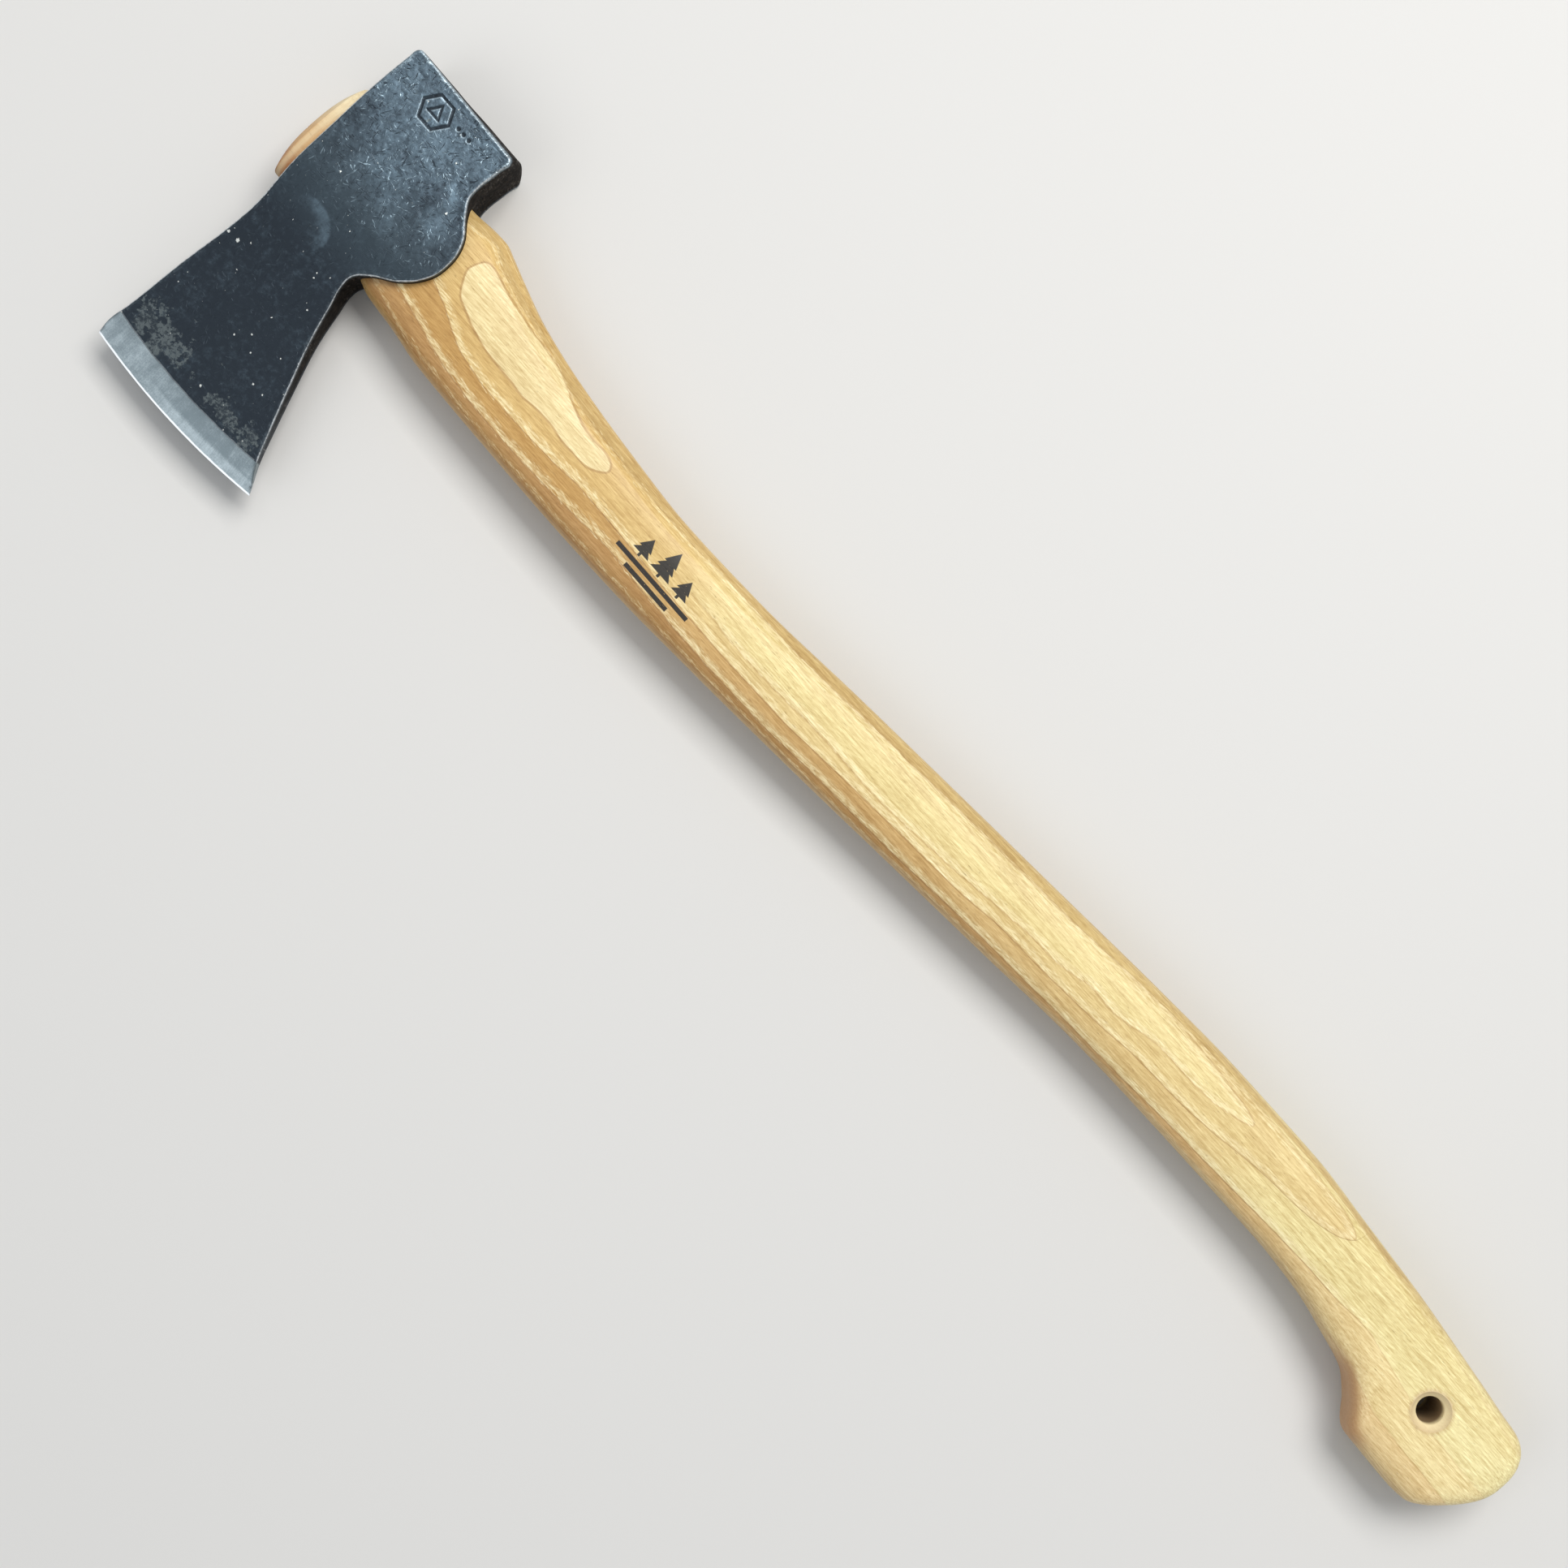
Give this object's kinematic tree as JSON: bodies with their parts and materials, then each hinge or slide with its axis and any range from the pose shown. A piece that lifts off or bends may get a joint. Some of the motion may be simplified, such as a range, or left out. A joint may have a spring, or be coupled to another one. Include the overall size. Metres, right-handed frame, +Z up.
{
  "type": "small forest axe",
  "caption": "Small forest axe: a bearded forged head with a flat poll, hung on a long curved wooden handle that ends in a swelled knob with a lanyard hole.",
  "frame": {"origin": "on the lower cheek's plane, under the middle of the eye", "axes": "the axe lies on its side: +Z up, +X from the top of the head down the handle to the knob, +Y towards the poll, -Y towards the cutting edge"},
  "size_m": [0.6433, 0.1554, 0.03],
  "materials": {
    "head_steel": "dark blue-grey forge scale, oiled, with a ground and honed bevel",
    "handle_wood": "hickory, rubbed with linseed oil and wax",
    "wedge_wood": "bare hardwood end grain",
    "spike_steel": "plain steel, filed flush"
  },
  "bodies": {
    "root": {"axe_head": "head_steel", "handle": "handle_wood", "eye_wedge": "wedge_wood", "wedge_spike": "spike_steel"}
  },
  "joints": []
}
